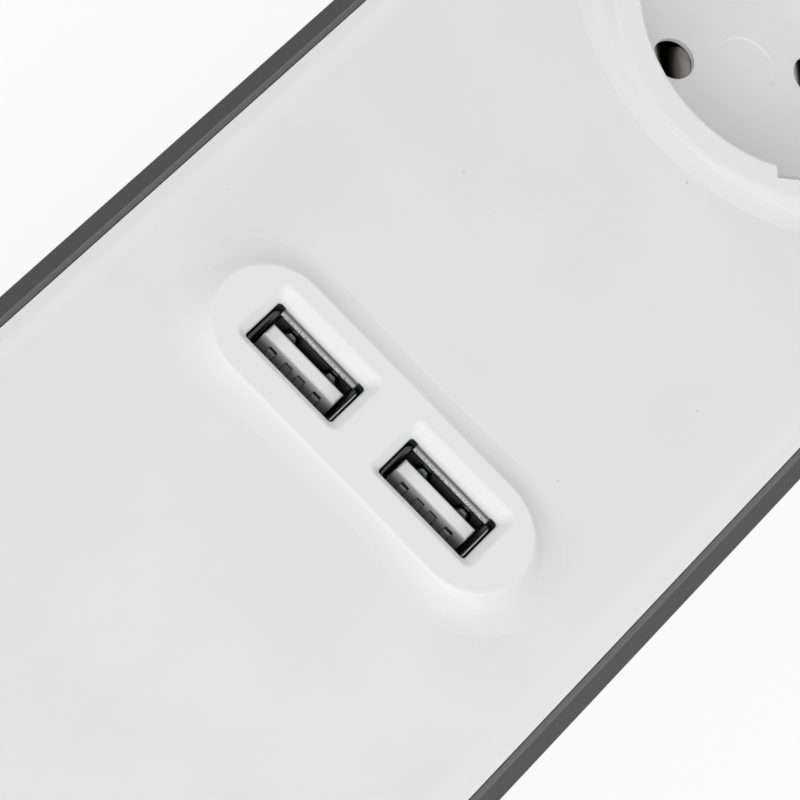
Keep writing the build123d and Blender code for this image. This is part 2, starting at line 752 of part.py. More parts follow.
# Charger components under the USB board
with BuildPart() as usb_transformer:
    core_plane = Plane.XZ.offset(-transformer_core / 2)
    core_middle = (usb_x + transformer_x, usb_board_z - transformer_height / 2)
    window_height = transformer_height - transformer_core
    window_length = (transformer_length - 2 * transformer_core) / 2
    with BuildSketch(core_plane):
        with Locations(core_middle):
            Rectangle(transformer_length, transformer_height)
            with GridLocations(transformer_core + window_length, 0, 2, 1):
                Rectangle(window_length, window_height, mode=Mode.SUBTRACT)
    extrude(amount=transformer_core)
    with BuildSketch(Plane.XY.offset(usb_board_z - (transformer_height - window_height) / 2)):
        with Locations((usb_x + transformer_x, 0)):
            RectangleRounded(transformer_core + 2 * window_length, transformer_width, window_length)
    extrude(amount=-window_height)
save(usb_transformer, "usb_transformer")

with BuildPart() as usb_capacitors:
    with BuildSketch(Plane.XY.offset(usb_board_z)):
        with Locations((usb_x + capacitor_x, 0)):
            with GridLocations(0, capacitor_spacing, 1, 2):
                Circle(capacitor_radius)
    extrude(amount=-capacitor_height)
    fillet(usb_capacitors.faces().group_by(Axis.Z)[0].edges(), can_round)
save(usb_capacitors, "usb_capacitors")

with BuildPart() as usb_link_wires:
    with BuildSketch(Plane.XY.offset(bar_top)):
        with Locations((usb_x + link_x, -pin_offset), (usb_x + link_x, pin_offset)):
            Circle(link_radius)
    extrude(amount=usb_board_z - bar_top)
save(usb_link_wires, "usb_link_wires")

# Surge protection: varistor discs and a thermal fuse
varistor_z = surge_board_top + varistor_stand + varistor_radius
for index in range(varistor_count):
    varistor_y = (index - (varistor_count - 1) / 2) * varistor_pitch
    with BuildPart() as varistor:
        with BuildSketch(Plane.XZ.offset(-varistor_y)):
            with Locations((surge_x, varistor_z)):
                Circle(varistor_radius)
        extrude(amount=varistor_thickness / 2, both=True)
        fillet(varistor.edges().filter_by(GeomType.CIRCLE), varistor_round)
        with BuildSketch(Plane.XY.offset(surge_board_top)):
            with Locations((surge_x, varistor_y)):
                with GridLocations(lead_spacing, 0, 2, 1):
                    Circle(lead_radius)
        extrude(amount=varistor_stand + varistor_radius)
    save(varistor, f"varistor_{index + 1}")

with BuildPart() as thermal_fuse:
    fuse_z = surge_board_top + fuse_stand + fuse_radius
    lead_run = fuse_length / 2 + fuse_lead
    with BuildSketch(Plane.YZ.offset(surge_x)):
        with Locations((fuse_y, fuse_z)):
            Circle(fuse_radius)
    extrude(amount=fuse_length / 2, both=True)
    fillet(thermal_fuse.edges().filter_by(GeomType.CIRCLE), can_round)
    with BuildSketch(Plane.YZ.offset(surge_x)):
        with Locations((fuse_y, fuse_z)):
            Circle(lead_radius)
    extrude(amount=lead_run, both=True)
    with BuildSketch(Plane.XY.offset(surge_board_top)):
        with Locations((surge_x - lead_run, fuse_y), (surge_x + lead_run, fuse_y)):
            Circle(lead_radius)
    extrude(amount=fuse_stand + fuse_radius)
save(thermal_fuse, "thermal_fuse")

# Contact bars with a pair of rolled spring leaves under each pin hole and a tab at the switch
terminal_low = switch_bottom + terminal_socket - terminal_length
jaw_angle = math.radians(socket_angle + 90)
jaw_along = (math.cos(jaw_angle), math.sin(jaw_angle), 0)
jaw_across = (math.sin(jaw_angle), -math.cos(jaw_angle), 0)
jaw_centre = (jaw_gap + bar_thickness) / 2
for name, side in (("live_busbar", 1), ("neutral_busbar", -1)):
    with BuildPart() as busbar:
        with BuildSketch(Plane.XY.offset(bar_z)):
            with Locations(((bar_start + bar_end) / 2, side * pin_offset)):
                Rectangle(bar_end - bar_start, bar_width)
        extrude(amount=bar_thickness)
        for x in socket_xs:
            with BuildSketch(Plane((x, 0, 0), x_dir=jaw_along, z_dir=jaw_across)):
                for lean in (-1, 1):
                    with BuildLine() as jaw_line:
                        leaf_u = side * pin_spacing / 2 + lean * jaw_centre
                        stem = Line((leaf_u, bar_z + bar_thickness / 2), (leaf_u, jaw_top - jaw_roll))
                        TangentArc(stem @ 1, (leaf_u + lean * jaw_roll, jaw_top), tangent=stem % 1)
                    trace(jaw_line.wires(), line_width=bar_thickness)
            extrude(amount=jaw_width / 2, both=True)
        with BuildSketch(Plane.XY.offset(bar_top)):
            with Locations((bar_end - bar_thickness / 2, side * pin_offset)):
                Rectangle(bar_thickness, terminal_width)
        extrude(amount=terminal_low + tab_overlap - bar_top)
    save(busbar, name)

# Earth: a common bar, and a bent spring clip across each socket
with BuildPart() as earth_bar:
    with BuildSketch(Plane.XY.offset(earth_bar_z)):
        with Locations(((socket_xs[0] + socket_xs[-1]) / 2, 0)):
            Rectangle(socket_span + 2 * earth_bar_tail, earth_bar_width)
    extrude(amount=earth_bar_thickness)
save(earth_bar, "earth_bar")

clip_angle = math.radians(socket_angle)
clip_along = (math.cos(clip_angle), math.sin(clip_angle), 0)
clip_across = (math.sin(clip_angle), -math.cos(clip_angle), 0)
clip_centre = clip_radius + clip_thickness / 2
clip_half = [
    (clip_centre, clip_base_z + clip_thickness / 2),
    (clip_centre, well_floor_z + well_floor_round),
    (well_radius - clip_bulge, well_floor_z + well_depth / 2),
    (clip_centre, ring_z - clip_drop),
]
for index, x in enumerate(socket_xs, 1):
    with BuildPart() as earth_clip:
        with BuildSketch(Plane((x, 0, 0), x_dir=clip_along, z_dir=clip_across)):
            with BuildLine() as clip_line:
                Polyline(*[(-u, z) for u, z in reversed(clip_half)], *clip_half)
            trace(clip_line.wires(), line_width=clip_thickness)
        extrude(amount=clip_width / 2, both=True)
    save(earth_clip, f"earth_clip_{index}")

# Master switch: housing with its flange, rocker on its own pivots, and four terminals
opening_length = 2 * (rocker_reach + rocker_end_gap)
opening_width = rocker_width + 2 * rocker_side_gap
terminal_places = [(switch_x + i * terminal_x, j * pin_offset) for i in (-1, 1) for j in (-1, 1)]
with BuildPart() as switch_housing:
    with BuildSketch(Plane.XY.offset(pad_z)):
        with Locations((switch_x, 0)):
            RectangleRounded(flange_length, flange_width, flange_corner)
    extrude(amount=flange_thickness)
    fillet(switch_housing.faces().sort_by(Axis.Z)[-1].edges(), flange_round)
    with BuildSketch(Plane.XY.offset(pad_z)):
        with Locations((switch_x, 0)):
            Rectangle(switch_body_length, switch_body_width)
    extrude(amount=-switch_body_depth)
    with BuildSketch(Plane.XY.offset(flange_top)):
        with Locations((switch_x, 0)):
            Rectangle(opening_length, opening_width)
    extrude(amount=switch_bottom + switch_floor - flange_top, mode=Mode.SUBTRACT)
    with BuildSketch(Plane.XZ):
        with Locations((switch_x, pivot_z)):
            Circle(pivot_radius + pivot_gap)
    extrude(amount=opening_width / 2 + pivot_length + pivot_gap, both=True, mode=Mode.SUBTRACT)
    with BuildSketch(Plane.XY.offset(switch_bottom)):
        with Locations(*terminal_places):
            Rectangle(terminal_thickness + 2 * terminal_gap, terminal_width + 2 * terminal_gap)
    extrude(amount=terminal_socket, mode=Mode.SUBTRACT)
save(switch_housing, "switch_housing")

tilt = math.radians(rocker_tilt)
corner_angle = tilt + math.asin((pivot_depth + rocker_proud) / rocker_reach)
corner = (rocker_reach * math.cos(corner_angle), rocker_reach * math.sin(corner_angle))
skirt_x = math.sqrt(rocker_reach ** 2 - rocker_skirt ** 2)
rocker_plane = Plane((switch_x, 0, pivot_z), x_dir=(math.cos(tilt), 0, math.sin(tilt)), z_dir=(0, -1, 0))
with BuildPart() as switch_rocker:
    with BuildSketch(rocker_plane):
        with BuildLine():
            ThreePointArc((-corner[0], corner[1]), (0, corner[1] - rocker_dish), corner)
            ThreePointArc(corner, (rocker_reach, 0), (skirt_x, -rocker_skirt))
            Line((skirt_x, -rocker_skirt), (-skirt_x, -rocker_skirt))
            ThreePointArc((-skirt_x, -rocker_skirt), (-rocker_reach, 0), (-corner[0], corner[1]))
        make_face()
    extrude(amount=rocker_width / 2, both=True)
    fillet(switch_rocker.faces().sort_by(Axis.Z)[-1].edges(), rocker_round)
    with BuildSketch(rocker_plane):
        Circle(pivot_radius)
    extrude(amount=opening_width / 2 + pivot_length, both=True)
save(switch_rocker, "switch_rocker")

with BuildPart() as switch_terminals:
    with BuildSketch(Plane.XY.offset(terminal_low)):
        with Locations(*terminal_places):
            Rectangle(terminal_thickness, terminal_width)
    extrude(amount=terminal_length)
save(switch_terminals, "switch_terminals")

# Indicator: a domed lens through the cover with a small lamp behind it
lens_flange_top = crown_height(lens_radius + lens_flange, cover_wall)
lens_low = crown_z - lens_length
with BuildPart() as indicator_lens:
    with BuildSketch(Plane.XZ):
        with BuildLine():
            dome_edge = (indicator_x + lens_radius, crown_z)
            dome = TangentArc((indicator_x, crown_z + lens_dome), dome_edge, tangent=(1, 0))
            Polyline(
                dome @ 1,
                (indicator_x + lens_radius, lens_flange_top),
                (indicator_x + lens_radius + lens_flange, lens_flange_top),
                (indicator_x + lens_radius + lens_flange, lens_flange_top - lens_flange_thickness),
                (indicator_x + lens_radius, lens_flange_top - lens_flange_thickness),
                (indicator_x + lens_radius, lens_low),
                (indicator_x + led_radius + lens_gap, lens_low),
                (indicator_x + led_radius + lens_gap, lens_low + led_depth),
                (indicator_x, lens_low + led_depth),
                dome @ 0,
            )
        make_face()
    revolve(axis=Axis((indicator_x, 0, 0), (0, 0, 1)))
save(indicator_lens, "indicator_lens")

with BuildPart() as indicator_lamp:
    with BuildSketch(Plane.XY.offset(lens_low + led_depth)):
        with Locations((indicator_x, 0)):
            Circle(led_radius)
    extrude(amount=-led_length)
    with BuildSketch(Plane.XY.offset(lens_low + led_depth - led_length)):
        with Locations((indicator_x, 0)):
            with GridLocations(0, led_lead_spacing / 2, 1, 2):
                Circle(lead_radius)
    extrude(amount=-led_lead_length)
save(indicator_lamp, "indicator_lamp")

# Gland of the cord, a bush snapped into the end wall
gland_back_x = gland_face_x - gland_boss_length
with BuildPart() as cord_gland:
    with BuildSketch(Plane.XZ) as gland_section:
        with BuildLine():
            Polyline(
                (gland_back_x - gland_collar_length, gland_height + gland_bore),
                (gland_face_x + gland_flange_thickness, gland_height + gland_bore),
                (gland_face_x + gland_flange_thickness, gland_height + gland_radius + gland_flange),
                (gland_face_x, gland_height + gland_radius + gland_flange),
                (gland_face_x, gland_height + gland_radius),
                (gland_back_x, gland_height + gland_radius),
                (gland_back_x, gland_height + gland_radius + gland_collar),
                (gland_back_x - gland_collar_length, gland_height + gland_radius),
                close=True,
            )
        make_face()
    revolve(axis=Axis((0, 0, gland_height), (1, 0, 0)))
save(cord_gland, "cord_gland")
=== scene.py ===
import bpy
import json
import math
from mathutils import Matrix, Vector


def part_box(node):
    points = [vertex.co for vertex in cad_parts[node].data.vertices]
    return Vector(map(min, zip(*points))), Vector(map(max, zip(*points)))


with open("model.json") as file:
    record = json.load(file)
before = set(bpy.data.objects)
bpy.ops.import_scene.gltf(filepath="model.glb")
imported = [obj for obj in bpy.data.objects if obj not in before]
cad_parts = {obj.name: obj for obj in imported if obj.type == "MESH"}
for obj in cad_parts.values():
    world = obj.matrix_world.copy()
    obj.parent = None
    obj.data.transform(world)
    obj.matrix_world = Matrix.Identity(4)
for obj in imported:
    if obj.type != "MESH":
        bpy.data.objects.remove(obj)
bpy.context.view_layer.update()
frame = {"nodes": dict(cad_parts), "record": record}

MM = 0.001


def mm(*lengths):
    """Lengths in millimetres as metres."""
    return tuple(length * MM for length in lengths)


# Camera, fitted to the photograph: it looks along +X, so left is +Y and right is -Y
camera_place = Vector((-0.36743, 0.00020, 0.46629))
camera_elevation = math.radians(59.49)
camera_roll = math.radians(45.74)
camera_lens = 199.53
camera_sensor = 36.0
camera_nearest = 10 * MM

# Light: a dim white room, with soft boxes whose level is a share of full white on a facing surface
world_level = 0.24
box_target = Vector((-0.12, 0.0, 0.04))
box_distance = 1.3
box_size = 0.9
box_full_power = math.pi ** 2 * box_distance ** 2
soft_boxes = {
    "near_right": ((-0.70, -0.70, 0.50), 0.41),
    "near_left": ((-0.70, 0.70, 0.50), 0.31),
    "far_left": ((0.70, 0.70, 0.50), 0.35),
    "far_right": ((0.70, -0.70, 0.50), 0.23),
    "high": ((-0.80, -0.25, 0.90), 0.33),
}

# Floor: its reach to each side, its white, and the share of it that glows in the picture and in reflections
floor_reach = 3.0
floor_white = 0.88
floor_glow = 0.90

# Places on the frame
cover_side, cover_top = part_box("top_cover")[1].yz
tray_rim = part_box("base_tray")[1].z
tongue_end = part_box("usb_tongue_1")[1].z
contact_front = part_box("usb_contacts_1")[0].x
contact_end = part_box("usb_contacts_1")[1].z
bar_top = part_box("live_busbar")[1].z
shell_low, shell_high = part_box("usb_shell_1")
port_x = (shell_low.x + shell_high.x) / 2
port_y = abs(shell_low.y + shell_high.y) / 2
port_half_width = (shell_high.y - shell_low.y) / 2
pocket_brim = shell_high.z + 0.4 * MM
hollow_middle = contact_front + 0.5 * MM
leaf_middle = shell_high.x - 0.86 * MM
rim_middle = port_half_width - 0.15 * MM

# Spans over which a tone sets in, from none of it to all of it: first those from the cover's top
raised_span = mm(-0.95, -0.70)
collar_span = mm(-1.6, -0.8)
well_floor_span = mm(-12.0, -13.0)
bevel_span = mm(-0.75, -0.90)

# From the brim of the USB pockets
bevel_foot_span = mm(0.45, 0.0)
cutout_span = mm(-0.15, -0.35)
corner_height_span = mm(-0.01, -0.06)

# Along the strip, from its middle, from the middle of the ports and from their far side
sockets_span = mm(-90.0, -80.0)
pocket_length_span = mm(6.0, 5.5)
corner_far_span = mm(-1.35, -1.05)

# Across the strip, from the cover's sides, from the middle of the strip and from that of each port
long_edge_span = mm(-4.0, -2.5)
tray_left_span = mm(30.0, 34.0)
pocket_width_span = mm(20.0, 19.5)
corner_width_span = mm(5.6, 5.9)

# From the tray's rim
tray_lip_span = mm(-0.25, -0.10)

# From the tongues' ends, and from the middle of their hollows
tongue_shade_span = mm(-0.4, -2.2)
hollow_height_span = mm(-0.9, -1.0)
hollow_width_span = mm(0.34, 0.30)

# From the shells' tops, from the middle of their leaves, and from their rims and right ends
shell_shade_span = mm(-0.90, -0.75)
shell_lip_span = mm(-0.56, -0.50)
shell_crest_span = mm(-0.09, -0.06)
end_wall_span = mm(-0.62, -0.70)
mouth_span = mm(-0.66, -0.62)
leaf_span = mm(0.33, 0.30)
rim_span = mm(0.45, 0.35)
rim_highlight_span = mm(0.17, 0.13)

# From the tops of the contact strips and of the live bar
contact_end_span = mm(-0.14, -0.08)
leaf_dark_span = mm(-0.05, -0.50)

# Slopes, as the share of a surface's direction that lies along an axis
collar_slope = (0.99, 0.80)
end_wall_slope = (-0.5, -0.9)

# Tones laid over a material, as greys from 0 to 1; most of them are painted light and shade
raised_light_tone = 0.803
collar_shade_tone = 0.735
well_floor_light_tone = 0.95
long_edge_light_tone = 0.803
bevel_light_tone = 0.822
bevel_foot_shade_tone = 0.66
cutout_shade_tone = 0.27
corner_shade_tone = 0.03
tray_left_shade_tone = 0.016
tray_lip_highlight_tone = 0.16
tongue_shade_tone = 0.42
hollow_shade_tone = 0.06
shell_shade_tone = 0.10
torn_dark_tone = 0.22
torn_bright_tone = 1.0
shell_crest_tone = 0.42
shell_inner_light_tone = 0.22
left_rim_light_tone = 0.13
right_rim_shadow_tone = 0.03
rim_highlight_tone = 0.75
contact_end_shade_tone = 0.06
leaf_dark_colour = (0.17, 0.165, 0.15)
dull_metal = 0.3

# Fine structure, in millimetres: lines of drawn metal, tears along a lip and clouds in a lens
drawn_line = 0.12
drawn_blot = 1.5
drawn_relief = 0.004
tear_size = 0.13
lens_cloud = 1.2
lens_grain = 0.4
lens_relief = 0.003

# Stretch of a pattern along X, Y and Z
even = (1.0, 1.0, 1.0)
drawn_along_x = (10.0, 1.0, 1.0)
drawn_along_z = (1.0, 1.0, 10.0)
shell_drawn_along_z = (1.0, 1.0, 12.0)
tear_stretch = (1.0, 2.2, 1.0)

# Noise: the range that most of its values lie in, a narrower one for tears, and how fine its detail is
noise_range = (0.3, 0.7)
tear_range = (0.44, 0.56)
soft_detail = 2.0
tear_detail = 3.0
line_detail = 4.0

# Share of a speck that has its full tone
speck_core = 0.5

# The mix node's colour sockets come after those for numbers and vectors
mix_first, mix_second, mix_result = 6, 7, 2


# Camera on the USB end's side, turned so that the strip crosses the picture
def aim(elevation, roll):
    """Camera axes for a view along +X that looks down, then rolls about the line of sight."""
    back = Vector((-math.cos(elevation), 0.0, math.sin(elevation)))
    level_right = Vector((0.0, -1.0, 0.0))
    level_up = Vector((math.sin(elevation), 0.0, math.cos(elevation)))
    right = math.cos(roll) * level_right + math.sin(roll) * level_up
    up = math.cos(roll) * level_up - math.sin(roll) * level_right
    return Matrix((right, up, back)).transposed()


def add_camera():
    data = bpy.data.cameras.new("camera")
    data.lens = camera_lens
    data.sensor_width = camera_sensor
    data.clip_start = camera_nearest
    camera = bpy.data.objects.new("camera", data)
    camera.matrix_world = Matrix.Translation(camera_place) @ aim(camera_elevation, camera_roll).to_4x4()
    bpy.context.scene.collection.objects.link(camera)
    bpy.context.scene.camera = camera
    bpy.context.scene.view_settings.view_transform = "Standard"


def add_lights():
    world = bpy.data.worlds.new("studio")
    world.use_nodes = True
    background = world.node_tree.nodes["Background"]
    background.inputs["Color"].default_value = (1.0, 1.0, 1.0, 1.0)
    background.inputs["Strength"].default_value = world_level
    bpy.context.scene.world = world
    for name, (direction, level) in soft_boxes.items():
        data = bpy.data.lights.new(name, "AREA")
        data.shape = "DISK"
        data.size = box_size
        data.energy = level * box_full_power
        lamp = bpy.data.objects.new(name, data)
        lamp.location = box_target + box_distance * Vector(direction).normalized()
        lamp.rotation_mode = "QUATERNION"
        lamp.rotation_quaternion = Vector(direction).to_track_quat("Z", "Y")
        bpy.context.scene.collection.objects.link(lamp)


def grey(value):
    return (value, value, value)


# Shader helpers
class Look:
    """A material under construction: its node tree, its shader and the place on the object."""

    def __init__(self, name):
        self.material = bpy.data.materials.new(name)
        self.material.use_nodes = True
        self.nodes = self.material.node_tree.nodes
        self.shader = self.nodes["Principled BSDF"]
        self.place = self.nodes.new("ShaderNodeTexCoord").outputs["Object"]

    def link(self, source, target):
        self.material.node_tree.links.new(source, target)

    def set(self, **values):
        """Sets constant values on the shader's own sockets."""
        for socket, value in values.items():
            self.shader.inputs[socket.replace("_", " ")].default_value = value

    def stretched(self, size, stretch):
        """The place in steps of a size in millimetres, longer along the stretched axes."""
        mapping = self.nodes.new("ShaderNodeMapping")
        mapping.inputs["Scale"].default_value = [1.0 / (size * MM * part) for part in stretch]
        self.link(self.place, mapping.inputs["Vector"])
        return mapping.outputs["Vector"]

    def noise(self, size, stretch=even, detail=soft_detail):
        """Noise whose blots are about a size in millimetres, longer along the stretched axes."""
        texture = self.nodes.new("ShaderNodeTexNoise")
        texture.inputs["Scale"].default_value = 1.0
        texture.inputs["Detail"].default_value = detail
        self.link(self.stretched(size, stretch), texture.inputs["Vector"])
        return texture.outputs["Fac"]

    def specks(self, gap, size):
        """Sparse round specks: 1 inside a speck and 0 between them."""
        texture = self.nodes.new("ShaderNodeTexVoronoi")
        texture.inputs["Scale"].default_value = 1.0
        self.link(self.stretched(gap, even), texture.inputs["Vector"])
        reach = size / gap
        return self.remap(texture.outputs["Distance"], (reach, speck_core * reach))

    def remap(self, value, given, wanted=(0.0, 1.0)):
        """Maps one range of a value to another, and holds the ends past it."""
        node = self.nodes.new("ShaderNodeMapRange")
        node.inputs["From Min"].default_value, node.inputs["From Max"].default_value = given
        node.inputs["To Min"].default_value, node.inputs["To Max"].default_value = wanted
        self.link(value, node.inputs["Value"])
        return node.outputs["Result"]

    def mix(self, share, first, second):
        """Mixes two colours, each a tuple or another node's output, by a share."""
        node = self.nodes.new("ShaderNodeMix")
        node.data_type = "RGBA"
        self.link(share, node.inputs["Factor"])
        for socket, colour in ((node.inputs[mix_first], first), (node.inputs[mix_second], second)):
            if isinstance(colour, tuple):
                socket.default_value = (*colour, 1.0)
            else:
                self.link(colour, socket)
        return node.outputs[mix_result]

    def calculate(self, operation, first, second=0.0):
        """One calculation on another node's output and a second output or number."""
        node = self.nodes.new("ShaderNodeMath")
        node.operation = operation
        self.link(first, node.inputs[0])
        if isinstance(second, float):
            node.inputs[1].default_value = second
        else:
            self.link(second, node.inputs[1])
        return node.outputs["Value"]

    def all_of(self, share, *others):
        """The part that several shares have in common."""
        for other in others:
            share = self.calculate("MULTIPLY", share, other)
        return share

    def any_of(self, share, *others):
        """The largest of several shares."""
        for other in others:
            share = self.calculate("MAXIMUM", share, other)
        return share

    def component(self, vector, axis):
        """One coordinate of a vector."""
        split = self.nodes.new("ShaderNodeSeparateXYZ")
        self.link(vector, split.inputs["Vector"])
        return split.outputs[axis]

    def apart(self, value, middle):
        """How far a value is from a middle."""
        return self.calculate("ABSOLUTE", self.calculate("SUBTRACT", value, middle))

    def distance(self, axis, middle):
        """Distance from a middle along an axis, in metres."""
        return self.apart(self.component(self.place, axis), middle)

    def port_distance(self, line):
        """Distance along Y from a line of the nearer USB port, which is given from the port's middle."""
        return self.apart(self.distance("Y", line), port_y)

    def ramp(self, value, level, span):
        """0 at the start of a span and 1 at its end, both measured from a level."""
        start, end = span
        return self.remap(value, (level + start, level + end))

    def along(self, axis, level, span):
        """A ramp along an axis, in metres."""
        return self.ramp(self.component(self.place, axis), level, span)

    def facing(self, axis, slope):
        """A ramp over how much of the surface's direction lies along an axis."""
        normal = self.nodes.new("ShaderNodeNewGeometry").outputs["Normal"]
        return self.remap(self.component(normal, axis), slope)

    def colour(self, source):
        self.link(source, self.shader.inputs["Base Color"])

    def over(self, share, colour):
        """Lays a colour over the one that is there, by a share."""
        below = self.shader.inputs["Base Color"].links[0].from_socket
        self.colour(self.mix(share, below, colour))

    def rough(self, source):
        self.link(source, self.shader.inputs["Roughness"])

    def bump(self, source, depth):
        """Fine relief of a depth in millimetres."""
        node = self.nodes.new("ShaderNodeBump")
        node.inputs["Distance"].default_value = depth * MM
        self.link(source, node.inputs["Height"])
        self.link(node.outputs["Normal"], self.shader.inputs["Normal"])


# Moulded plastics and other cast or coated materials
def moulded(name, dark, pale, speck, blot, grain, relief, rough, speck_gap, speck_size):
    """Soft blotches, a fine grain and a few specks, with sizes in millimetres."""
    look = Look(name)
    body = look.mix(look.remap(look.noise(blot), noise_range), dark, pale)
    grains = look.noise(grain)
    look.colour(look.mix(look.specks(speck_gap, speck_size), body, speck))
    look.rough(look.remap(grains, noise_range, rough))
    look.bump(grains, relief)
    return look


def paint_pocket_light_and_shade(look):
    """Paints light and shade into the two USB pockets: painted light on the bevels, and painted shade at
    their feet, on the cut-outs below and in the cut-outs' far corners.
    """
    pockets = look.all_of(
        look.ramp(look.distance("X", port_x), 0.0, pocket_length_span),
        look.ramp(look.distance("Y", 0.0), 0.0, pocket_width_span),
    )
    # Painted light: the pockets' bevels are paler
    look.over(look.all_of(pockets, look.along("Z", cover_top, bevel_span)), grey(bevel_light_tone))
    # Painted shade at the bevels' feet and on the cut-out walls below them
    look.over(look.all_of(pockets, look.along("Z", pocket_brim, bevel_foot_span)), grey(bevel_foot_shade_tone))
    look.over(look.all_of(pockets, look.along("Z", pocket_brim, cutout_span)), grey(cutout_shade_tone))
    # Painted shadow: near black in the cut-outs' far corners
    far_corner_shade = look.all_of(
        pockets,
        look.along("X", shell_high.x, corner_far_span),
        look.along("Z", pocket_brim, corner_height_span),
        look.ramp(look.port_distance(0.0), 0.0, corner_width_span),
    )
    look.over(far_corner_shade, grey(corner_shade_tone))


def cover_white():
    """White plastic with painted light on raised faces, long edges and well floors, and painted shade on the
    collars' slopes.
    """
    look = moulded(
        "cover_white", dark=grey(0.767), pale=grey(0.785), speck=grey(0.60), blot=18.0, grain=0.3,
        relief=0.002, rough=(0.44, 0.54), speck_gap=6.0, speck_size=0.22,
    )
    look.set(Specular_IOR_Level=0.28)
    # Painted light: the raised faces are paler, as if lit more strongly
    look.over(look.along("Z", cover_top, raised_span), grey(raised_light_tone))
    # Painted shade: the collars' slopes are darker, toning down their highlight
    collars = look.all_of(
        look.along("X", 0.0, sockets_span),
        look.along("Z", cover_top, collar_span),
        look.facing("Z", collar_slope),
    )
    look.over(collars, grey(collar_shade_tone))
    # Painted light: the floors of the wells are paler
    look.over(look.along("Z", cover_top, well_floor_span), grey(well_floor_light_tone))
    # Painted light: a paler band along the cover's long edges
    look.over(look.ramp(look.distance("Y", 0.0), cover_side, long_edge_span), grey(long_edge_light_tone))
    paint_pocket_light_and_shade(look)
    return look


def tray_grey():
    """Dark grey plastic with a matt grain, with painted shade on the left flank and a painted highlight on
    the lip beside the cover.
    """
    look = moulded(
        "tray_grey", dark=grey(0.035), pale=grey(0.042), speck=grey(0.14), blot=1.2, grain=0.25,
        relief=0.012, rough=(0.62, 0.76), speck_gap=4.0, speck_size=0.15,
    )
    look.set(Specular_IOR_Level=0.15)
    # Painted shade: the tray's left flank is darker
    look.over(look.along("Y", 0.0, tray_left_span), grey(tray_left_shade_tone))
    # Painted highlight along the tray's lip beside the cover
    look.over(look.along("Z", tray_rim, tray_lip_span), grey(tray_lip_highlight_tone))
    return look


def switch_grey():
    return moulded(
        "switch_grey", dark=grey(0.07), pale=grey(0.085), speck=grey(0.2), blot=2.0, grain=0.3,
        relief=0.01, rough=(0.45, 0.55), speck_gap=6.0, speck_size=0.15,
    )


def rocker_grey():
    return moulded(
        "rocker_grey", dark=grey(0.09), pale=grey(0.105), speck=grey(0.25), blot=6.0, grain=0.5,
        relief=0.002, rough=(0.26, 0.34), speck_gap=6.0, speck_size=0.15,
    )


def tongue_white():
    """White plastic with painted shade that deepens away from the tongue's end, and deep painted shade in the
    hollows behind the contacts.
    """
    look = moulded(
        "tongue_white", dark=grey(0.96), pale=grey(0.98), speck=grey(0.75), blot=2.0, grain=0.12,
        relief=0.002, rough=(0.42, 0.52), speck_gap=3.0, speck_size=0.06,
    )
    look.set(Specular_IOR_Level=0.2)
    # Painted shade: darker away from the tongue's end
    look.over(look.along("Z", tongue_end, tongue_shade_span), grey(tongue_shade_tone))
    # Painted shade: near black in the hollows behind the contacts
    hollows = look.all_of(
        look.ramp(look.distance("X", hollow_middle), 0.0, hollow_width_span),
        look.along("Z", tongue_end, hollow_height_span),
    )
    look.over(hollows, grey(hollow_shade_tone))
    return look


def rubber_black():
    return moulded(
        "rubber_black", dark=grey(0.022), pale=grey(0.036), speck=grey(0.14), blot=1.5, grain=0.2,
        relief=0.02, rough=(0.75, 0.9), speck_gap=3.0, speck_size=0.2,
    )


def can_black():
    return moulded(
        "can_black", dark=(0.024, 0.024, 0.04), pale=(0.034, 0.034, 0.055), speck=grey(0.2), blot=3.0,
        grain=0.4, relief=0.004, rough=(0.3, 0.42), speck_gap=5.0, speck_size=0.12,
    )


def varistor_blue():
    return moulded(
        "varistor_blue", dark=(0.024, 0.085, 0.34), pale=(0.034, 0.11, 0.42), speck=(0.1, 0.2, 0.5), blot=2.5,
        grain=0.7, relief=0.03, rough=(0.3, 0.45), speck_gap=4.0, speck_size=0.2,
    )


def fuse_tan():
    return moulded(
        "fuse_tan", dark=(0.50, 0.38, 0.25), pale=(0.60, 0.46, 0.31), speck=(0.35, 0.26, 0.17), blot=1.0,
        grain=0.15, relief=0.01, rough=(0.55, 0.7), speck_gap=1.5, speck_size=0.12,
    )


def ferrite_dark():
    return moulded(
        "ferrite_dark", dark=grey(0.055), pale=grey(0.085), speck=grey(0.16), blot=0.8, grain=0.1,
        relief=0.015, rough=(0.5, 0.68), speck_gap=1.2, speck_size=0.08,
    )


def board_green():
    return moulded(
        "board_green", dark=(0.035, 0.17, 0.075), pale=(0.055, 0.25, 0.12), speck=(0.3, 0.4, 0.3), blot=0.9,
        grain=0.4, relief=0.01, rough=(0.32, 0.46), speck_gap=3.0, speck_size=0.12,
    )


# Metals
def drawn_metal(name, dark, pale, streak, rough):
    """Plated or bare metal with fine drawing lines along one axis, or an even grain."""
    look = Look(name)
    look.set(Metallic=1.0)
    lines = look.noise(drawn_line, streak, line_detail)
    look.colour(look.mix(look.remap(lines, noise_range), dark, pale))
    look.rough(look.remap(look.noise(drawn_blot), noise_range, rough))
    look.bump(lines, drawn_relief)
    return look


